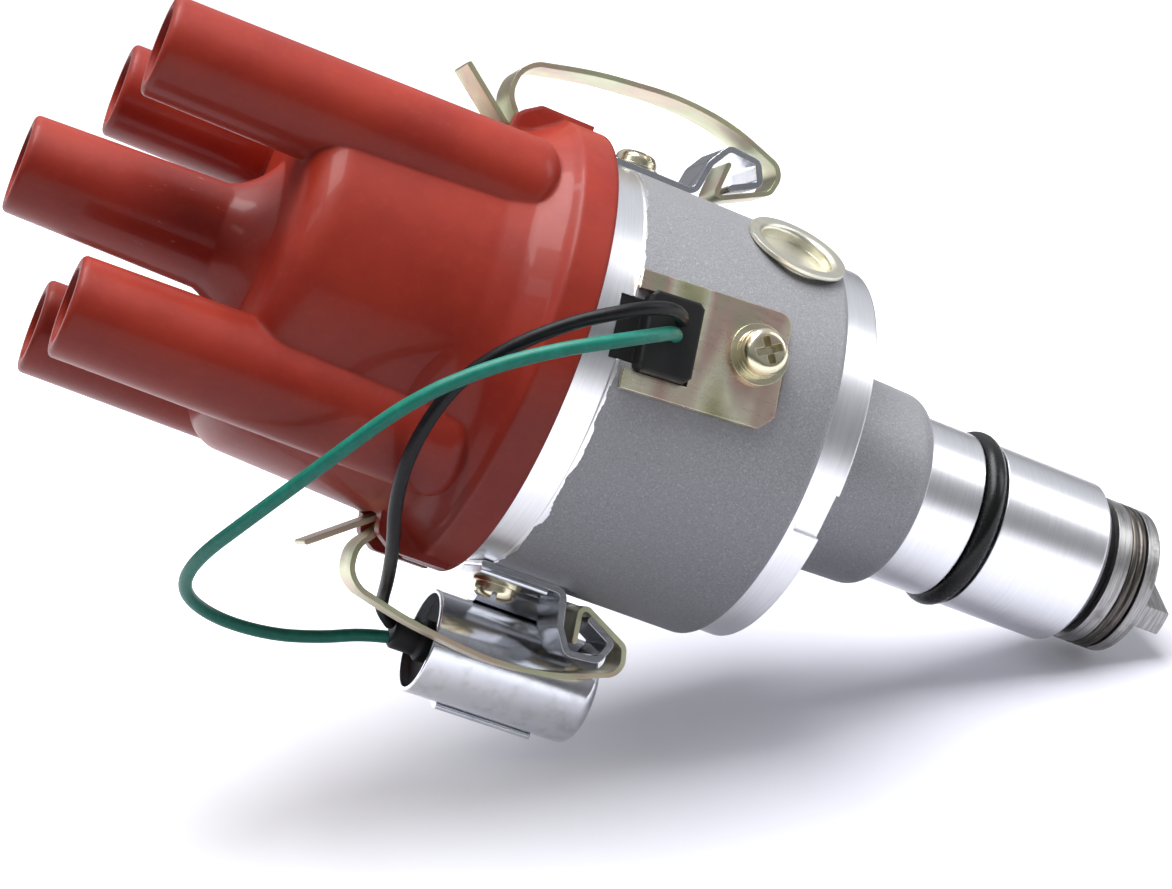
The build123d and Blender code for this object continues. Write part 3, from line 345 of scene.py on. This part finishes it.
def white_paper():
    """The table's material: white, glowing to the eye far from the object and only faintly near it, which
    paints a shade round it; clear from behind.
    """
    paper = Finish("white_paper", base_color=paper_white, roughness=0.9, specular_ior_level=0.1)
    seen = paper.node("LightPath", output="Is Camera Ray")
    mirrored = paper.node("LightPath", output="Is Glossy Ray")
    watched = paper.node("Math", {"operation": "MAXIMUM"}, {0: seen, 1: mirrored})
    # The glow rises with the distance from the painted shade's middle, so camera and glossy rays see a
    # painted shade round the object.
    ends = {0: paper.place(), 1: tuple(painted_shade_middle)}
    away = paper.node("VectorMath", {"operation": "DISTANCE"}, ends, output="Value")
    glow = paper.level(away, glow_start, glow_full) * watched
    paper.connect(paper.shader.inputs["Emission Strength"], 0.8)
    bounced = paper.node("LightPath", output="Is Diffuse Ray")
    paper.feed(
        Base_Color=paper.blend(bounced, paper_white, paper_bounce),
        Emission_Color=paper.blend(glow, paper_near_painted_shade, paper_glow),
    )
    clear = paper.node("BsdfTransparent")
    behind = paper.node("NewGeometry", output="Backfacing")
    mixed = paper.node("MixShader", None, {0: behind})
    mix = mixed.socket.node
    paper.tree.links.new(paper.shader.outputs[0], mix.inputs[1])
    paper.tree.links.new(clear.socket, mix.inputs[2])
    paper.tree.links.new(mix.outputs[0], paper.tree.nodes["Material Output"].inputs["Surface"])
    return paper.material


table.data.materials.append(white_paper())
print("paper ready")

# %% [markdown]
# ## Studio light
#
# One large soft lamp hangs above the object, a little to the camera's side of it. A weak one
# at the upper left in front and one at the right add the smaller highlights. The world is
# white for the camera. For the surfaces it is a room: bright overhead, dim behind the camera,
# with a dark gap near the horizon that draws the hard dark lines along turned metal.

# %% Light
world = bpy.data.worlds.new("studio")
scene.world = world
world.use_nodes = True
room_tint = (0.92, 0.94, 1.0)


class Room(Finish):
    """The world's node tree, with the same shorthand as a material's."""

    def __init__(self, room):
        self.tree = room.node_tree
        self.shader = self.tree.nodes["Background"]

    def towards(self, direction):
        """How far the view direction points along a fixed one, from 0 to 1."""
        where = self.node("TexCoord", output="Generated")
        values = {0: where, 1: tuple(direction.normalized())}
        return self.node("VectorMath", {"operation": "DOT_PRODUCT"}, values, output="Value") * 0.5 + 0.5


def studio_room():
    """White to the camera; to surfaces a room that is bright above and dim by the camera."""
    room = Room(world)
    stops = [(0.0, 0.30), (0.48, 0.26), (0.51, 0.10), (0.59, 0.40), (0.74, 0.85), (1.0, 0.95)]
    height = room.ramp(room.towards(table_up), stops)
    facing = room.ramp(room.towards(-picture_forward), [(0.0, 1.0), (0.55, 0.85), (0.80, 0.50), (1.0, 0.42)])
    spread = 1.0 - 0.68 * room.node("LightPath", output="Is Diffuse Ray")
    room.feed(Color=room.blend(height * facing * spread, (0.0, 0.0, 0.0), room_tint))
    room.shader.inputs["Strength"].default_value = 0.95
    white = room.node("Background", None, {"Color": (1.0, 1.0, 1.0), "Strength": 1.0})
    mixed = room.node("MixShader", None, {0: room.node("LightPath", output="Is Camera Ray")})
    mix = mixed.socket.node
    room.tree.links.new(room.shader.outputs[0], mix.inputs[1])
    room.tree.links.new(white.socket, mix.inputs[2])
    room.tree.links.new(mix.outputs[0], room.tree.nodes["World Output"].inputs["Surface"])


def soft_lamp(name, direction, distance, size, power):
    """A rectangular area lamp that looks at the middle of the object from a direction."""
    aim = Vector((0, 0, 50)) * millimetre
    data = bpy.data.lights.new(name, "AREA")
    data.shape = "RECTANGLE"
    data.size, data.size_y = size
    data.energy = power
    data.color = (0.97, 0.98, 1.0)
    lamp = bpy.data.objects.new(name, data)
    lamp.location = aim + direction.normalized() * distance
    lamp.rotation_euler = (-direction).to_track_quat("-Z", "Y").to_euler()
    scene.collection.objects.link(lamp)
    return lamp


studio_room()
picture_up = -picture_down
towards_camera = -picture_forward
above = picture_up + 0.28 * towards_camera - 0.1 * picture_right
upper_left = towards_camera + 0.9 * picture_up - 0.8 * picture_right
at_the_right = picture_right + 0.6 * picture_up + 0.1 * towards_camera
soft_lamp("top_light", above, distance=0.75, size=(0.75, 0.40), power=8.6)
soft_lamp("front_light", upper_left, distance=0.8, size=(0.10, 0.30), power=0.3)
soft_lamp("side_light", at_the_right, distance=0.8, size=(0.30, 0.50), power=1.5)

# %% [markdown]
# ## The cap's moulding
#
# The cap is pressed from a brick red phenolic. It is glossy, with a faint cloudiness in the
# colour, a fine orange peel in the gloss, and pale scuffs where the tools have rubbed the
# foot of the centre tower. A coat over a rougher base gives the double highlight.

# %% Cap material
def from_axis(finish):
    """Distance of the surface point from the shaft axis, in metres."""
    flat = finish.node("VectorMath", {"operation": "MULTIPLY"}, {0: finish.place(), 1: (1.0, 1.0, 0.0)})
    return finish.node("VectorMath", {"operation": "LENGTH"}, {0: flat}, output="Value")


cap_red = (0.385, 0.031, 0.013)
cap_dark = (0.30, 0.020, 0.009)
cap_light = (0.45, 0.060, 0.030)
cap_scuff = (0.62, 0.36, 0.28)
scuff_starts = (112 * millimetre, 116 * millimetre)
scuff_ends = (121 * millimetre, 128 * millimetre)
scuff_reach = 12 * millimetre


def cap_moulding():
    """Brick red phenolic with cloudy colour, light scuffs and a polished coat."""
    cap = Finish("cap_moulding", base_color=cap_red, roughness=0.46, coat_weight=0.13, coat_roughness=0.06,
                 specular_ior_level=0.30)
    cloud = cap.noise(0.016, 4.0)
    colour = cap.blend(cap.level(cloud, 0.35, 0.7), cap_dark, cap_red)
    mottle = cap.noise(0.0012, 2.0, 0.7)
    colour = cap.blend(0.18 * cap.level(mottle, 0.5, 0.75), colour, cap_light)
    rub = cap.level(cap.noise(0.0021, 5.0, 0.75, (1, 1, 0.35)), 0.62, 0.70)
    height = cap.along("Z")
    above_foot = 1.0 - cap.level(height, *scuff_ends)
    foot = cap.level(height, *scuff_starts) * above_foot * (from_axis(cap) < scuff_reach)
    colour = cap.blend(0.55 * rub * foot, colour, cap_scuff)
    scratch = cap.level(cap.noise(0.0009, 6.0, 0.8, (1, 1, 0.06)), 0.66, 0.74)
    cap.feed(Base_Color=colour, Roughness=0.42 + 0.10 * cloud + 0.10 * scratch + 0.2 * rub * foot)
    peel = cap.noise(0.0034, 2.0)
    return cap.relief(peel, 0.00004, edge=0.0011).material


# %% [markdown]
# ## The casting and its turned faces
#
# The bowl is an aluminium casting. Its raw skin is a dull grey with dark pores and a fine
# sparkle that is painted into its colour as bright flecks. The mouth, the flange and the shank
# are turned bright, with fine rings round the axis. At the mouth the tool ran out over an
# uneven casting, so that edge is ragged.

# %% Housing material
turned_bright = (0.84, 0.84, 0.86)
skin_band = (25.7 * millimetre, 59.0 * millimetre)
skin_surface = 28.6 * millimetre
ragged_edge = 3.0 * millimetre
shank_surface = 13.55 * millimetre
neck_bottom, neck_top = -0.2 * millimetre, 20.2 * millimetre


def casting():
    """Raw cast skin with bright turned bands, chosen by the place on the body."""
    metal = Finish("casting", base_color=turned_bright, roughness=0.5, metallic=1.0)
    height = metal.along("Z")
    across = from_axis(metal)
    ragged = height + ragged_edge * (metal.noise(0.006, 5.0, 0.6) - 0.5)
    skin = (height > skin_band[0]) * (ragged < skin_band[1]) * (across > skin_surface)
    neck = (height > neck_bottom) * (height < neck_top) * (across > shank_surface)
    raw = metal.node("Math", {"operation": "MAXIMUM"}, {0: skin, 1: neck})
    grain = metal.noise(0.00028, 3.0, 0.75)
    patch = metal.noise(0.012, 3.0)
    # Painted glints: bright flecks in the colour stand in for the sparkle of light off the cast grains.
    painted_glints = metal.level(metal.cells(0.00022), 0.93, 0.99)
    pore = 1.0 - metal.level(metal.noise(0.0011, 4.0, 0.75), 0.27, 0.36)
    dull = metal.blend(metal.level(grain, 0.25, 0.75), (0.25, 0.25, 0.262), (0.40, 0.40, 0.415))
    dull = metal.blend(0.30 * metal.level(patch, 0.3, 0.7), dull, (0.34, 0.34, 0.35))
    dull = metal.blend(0.22 * painted_glints, dull, (0.75, 0.75, 0.77))
    dull = metal.blend(0.55 * pore, dull, (0.12, 0.115, 0.11))
    ring = metal.noise(0.00022, 2.0, 0.6, (0.02, 0.02, 1.0))
    bright = metal.blend(metal.level(ring, 0.3, 0.7), (0.78, 0.78, 0.80), turned_bright)
    metal.feed(
        Base_Color=metal.blend(raw, bright, dull),
        Roughness=raw * (0.48 + 0.14 * grain) + (1.0 - raw) * (0.26 + 0.08 * ring),
        Metallic=1.0 - 0.65 * raw,
    )
    lumps = metal.noise(0.00042, 4.0, 0.6)
    return metal.relief(raw * lumps + (1.0 - raw) * ring * 0.03, 0.00005, edge=0.00035).material


# %% [markdown]
# ## Zinc plating
#
# Most small steel pieces are zinc plated. A yellow passivate shows soft bands of green, pink
# and gold where its thickness changes. A blue passivate is nearly colourless. Both are
# metallic and a little streaky along the rolling direction.

# %% Zinc
def zinc(name, tones, rough, tint_size, streak=(1, 1, 0.2), cloudy=0.2, wavy=0.0, grain=1.0):
    """Plated steel whose colour drifts through a few tones, on a slightly wavy sheet if asked."""
    metal = Finish(name, base_color=tones[0], roughness=rough[0], metallic=1.0)
    drift = metal.noise(tint_size, 1.5, 0.5, streak)
    last = len(tones) - 1
    stops = [(0.30 + 0.40 * k / last, tone) for k, tone in enumerate(tones)]
    colour = metal.ramp(drift, stops)
    brushed = metal.noise(0.0005, 3.0, 0.6, (1, 1, 0.12))
    cloud = metal.noise(0.0024, 3.0)
    colour = metal.blend(cloudy * metal.level(cloud, 0.45, 0.75), colour, (0.36, 0.35, 0.32))
    metal.feed(Base_Color=colour, Roughness=rough[0] + (rough[1] - rough[0]) * brushed + 0.06 * cloud)
    wave = metal.noise(1.4 * tint_size, 1.0, 0.4)
    return metal.relief(grain * brushed + wavy * wave, 0.000008, edge=0.00015).material


yellow_tones = [
    (0.34, 0.37, 0.20), (0.62, 0.60, 0.36), (0.92, 0.88, 0.66),
    (0.66, 0.46, 0.38), (0.46, 0.52, 0.34), (0.80, 0.74, 0.48),
]
clip_tones = [
    (0.45, 0.48, 0.29), (0.60, 0.57, 0.36), (0.56, 0.44, 0.33),
    (0.50, 0.52, 0.33), (0.64, 0.61, 0.42),
]
pale_tones = [(0.66, 0.66, 0.58), (0.76, 0.73, 0.60), (0.72, 0.69, 0.56)]
blue_tones = [(0.60, 0.62, 0.66), (0.72, 0.73, 0.76), (0.64, 0.67, 0.70)]
gold_tones = [(0.60, 0.56, 0.39), (0.74, 0.69, 0.50), (0.62, 0.52, 0.37)]

# %% [markdown]
# ## Rubber, plastic and the other metals
#
# The sealing ring is smooth and oily, the grommet and boot are matt. The leads are soft PVC
# with a faint waxy sheen. Inside there are brass, bronze, ground steel, fibre, felt and
# carbon. Each gets its grain at its own scale.

# %% Small finishes
def soft_black(name, shade, rough, grain, depth):
    """Black rubber or board with a fine skin."""
    rubber = Finish(name, base_color=(shade,) * 3, roughness=rough, specular_ior_level=0.28)
    skin = rubber.noise(grain, 4.0, 0.6)
    dust = rubber.level(rubber.noise(grain * 3, 5.0, 0.7), 0.62, 0.75)
    colour = rubber.blend(0.25 * dust, (shade,) * 3, (shade + 0.03,) * 3)
    rubber.feed(Base_Color=colour, Roughness=rough + 0.14 * skin)
    return rubber.relief(skin, depth, edge=0.0004).material


def wire_cover(name, colour, paler, sheen=0.35):
    """Extruded PVC with a waxy sheen and faint marks along its length."""
    cover = Finish(name, base_color=colour, roughness=0.38, specular_ior_level=sheen)
    mark = cover.noise(0.0016, 4.0, 0.6)
    shade = cover.blend(0.5 * cover.level(mark, 0.45, 0.7), colour, paler)
    cover.feed(Base_Color=shade, Roughness=0.34 + 0.16 * mark)
    return cover.relief(cover.noise(0.0008, 3.0), 0.00003).material


def ground_metal(name, dark, light, rough, grain=0.0003, stretch=(0.05, 0.05, 1.0), stain=None):
    """Turned or ground metal with rings round the axis and a few stains."""
    metal = Finish(name, base_color=light, roughness=rough, metallic=1.0)
    ring = metal.noise(grain, 3.0, 0.6, stretch)
    colour = metal.blend(metal.level(ring, 0.3, 0.7), dark, light)
    cloud = metal.level(metal.noise(0.0035, 4.0), 0.52, 0.72)
    colour = metal.blend(0.5 * cloud, colour, stain or tuple(0.6 * v for v in dark))
    metal.feed(Base_Color=colour, Roughness=rough + 0.16 * ring + 0.12 * cloud)
    return metal.relief(ring, 0.00002, edge=0.0002).material


def dull_stuff(name, dark, light, rough, grain, depth):
    """Felt, fibre, carbon or moulding powder: a plain grain in two shades."""
    stuff = Finish(name, base_color=light, roughness=rough)
    grains = stuff.noise(grain, 4.0, 0.65)
    colour = stuff.blend(stuff.level(grains, 0.35, 0.68), dark, light)
    stuff.feed(Base_Color=colour, Roughness=rough + 0.1 * grains)
    return stuff.relief(grains, depth, edge=0.0002).material


finishes = {
    "cap_phenolic": cap_moulding(),
    "cast_housing": casting(),
    "zinc_yellow": zinc("zinc_yellow", yellow_tones, (0.18, 0.34), 0.0085, (0.3, 0.3, 1), wavy=25.0),
    "clip_zinc": zinc("clip_zinc", clip_tones, (0.30, 0.42), 0.009, (1, 1, 0.5), cloudy=0.1),
    "screw_yellow": zinc("screw_yellow", gold_tones, (0.16, 0.24), 0.003, grain=0.3),
    "zinc_pale": zinc("zinc_pale", pale_tones, (0.24, 0.40), 0.006),
    "zinc_blue": zinc("zinc_blue", blue_tones, (0.10, 0.22), 0.005, cloudy=0.1),
    "can_steel": zinc("can_steel", blue_tones, (0.10, 0.22), 0.007, (1, 1, 0.1), cloudy=0.3, wavy=4.0),
    "thrust_fibre": soft_black("thrust_fibre", 0.012, 0.50, 0.0005, 0.00003),
    "plate_zinc": zinc("plate_zinc", pale_tones, (0.26, 0.42), 0.006),
    "seal_rubber": soft_black("seal_rubber", 0.005, 0.20, 0.0006, 0.00001),
    "grommet_rubber": soft_black("grommet_rubber", 0.007, 0.46, 0.0005, 0.00004),
    "insulator": soft_black("insulator", 0.022, 0.55, 0.0007, 0.00005),
    "lead_green": wire_cover("lead_green", (0.010, 0.235, 0.165), (0.03, 0.33, 0.25)),
    "lead_black": wire_cover("lead_black", (0.004, 0.004, 0.005), (0.014, 0.014, 0.016), sheen=0.2),
    "shaft_steel": ground_metal("shaft_steel", (0.42, 0.42, 0.42), (0.62, 0.62, 0.62), 0.20),
    "dog_steel": ground_metal(
        "dog_steel", (0.24, 0.235, 0.23), (0.44, 0.43, 0.42), 0.30, stain=(0.12, 0.11, 0.10),
    ),
    "spring_steel": ground_metal("spring_steel", (0.06, 0.052, 0.046), (0.16, 0.145, 0.13), 0.25),
    "weight_steel": ground_metal(
        "weight_steel", (0.26, 0.26, 0.26), (0.38, 0.37, 0.36), 0.36, 0.0008, (1, 1, 1),
    ),
    "washer_steel": ground_metal("washer_steel", (0.50, 0.50, 0.50), (0.64, 0.64, 0.64), 0.24),
    "bush_bronze": ground_metal("bush_bronze", (0.44, 0.27, 0.12), (0.62, 0.42, 0.22), 0.26),
    "brass": ground_metal("brass", (0.62, 0.44, 0.16), (0.80, 0.62, 0.30), 0.20, stain=(0.34, 0.22, 0.10)),
    "tungsten": ground_metal("tungsten", (0.40, 0.40, 0.41), (0.52, 0.52, 0.53), 0.22),
    "foil": ground_metal("foil", (0.60, 0.60, 0.60), (0.76, 0.76, 0.76), 0.30),
    "felt": dull_stuff("felt", (0.20, 0.16, 0.10), (0.36, 0.30, 0.20), 0.85, 0.0004, 0.00015),
    "fibre": dull_stuff("fibre", (0.16, 0.08, 0.04), (0.30, 0.17, 0.09), 0.55, 0.0005, 0.00006),
    "carbon": dull_stuff("carbon", (0.03, 0.03, 0.03), (0.07, 0.07, 0.07), 0.45, 0.0003, 0.00003),
    "rotor_moulding": dull_stuff(
        "rotor_moulding", (0.16, 0.030, 0.016), (0.24, 0.048, 0.024), 0.26, 0.0012, 0.00003,
    ),
}
print("finishes:", len(finishes))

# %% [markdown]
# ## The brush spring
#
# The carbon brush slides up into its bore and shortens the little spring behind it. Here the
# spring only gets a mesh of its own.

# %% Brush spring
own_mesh(frame["nodes"]["brush_spring"])

# %% [markdown]
# ## Dressing the CAD pieces
#
# Every CAD node has a material slot by name in its record. Its object takes the finish of
# that name. Shading is smooth across shallow angles and sharp across real edges, which
# changes no vertex.

# %% Dress
smooth_angle = radians(32)


def dress(thing, finish):
    """Give a piece one finish and shade it smooth up to the sharp edges."""
    thing.data.materials.clear()
    thing.data.materials.append(finish)
    if thing.type == "MESH":
        thing.data.polygons.foreach_set("use_smooth", [True] * len(thing.data.polygons))
        thing.data.set_sharp_from_angle(angle=smooth_angle)


node_slots = {entry["node"]: entry["material_slot"] for entry in frame["record"]["subparts"]}
for name, thing in frame["nodes"].items():
    dress(thing, finishes[node_slots[name]])
for name, slot in (("green_wire", "lead_green"), ("black_wire", "lead_black")):
    dress(leads[name], finishes[slot])
print("dressed:", len(frame["nodes"]))
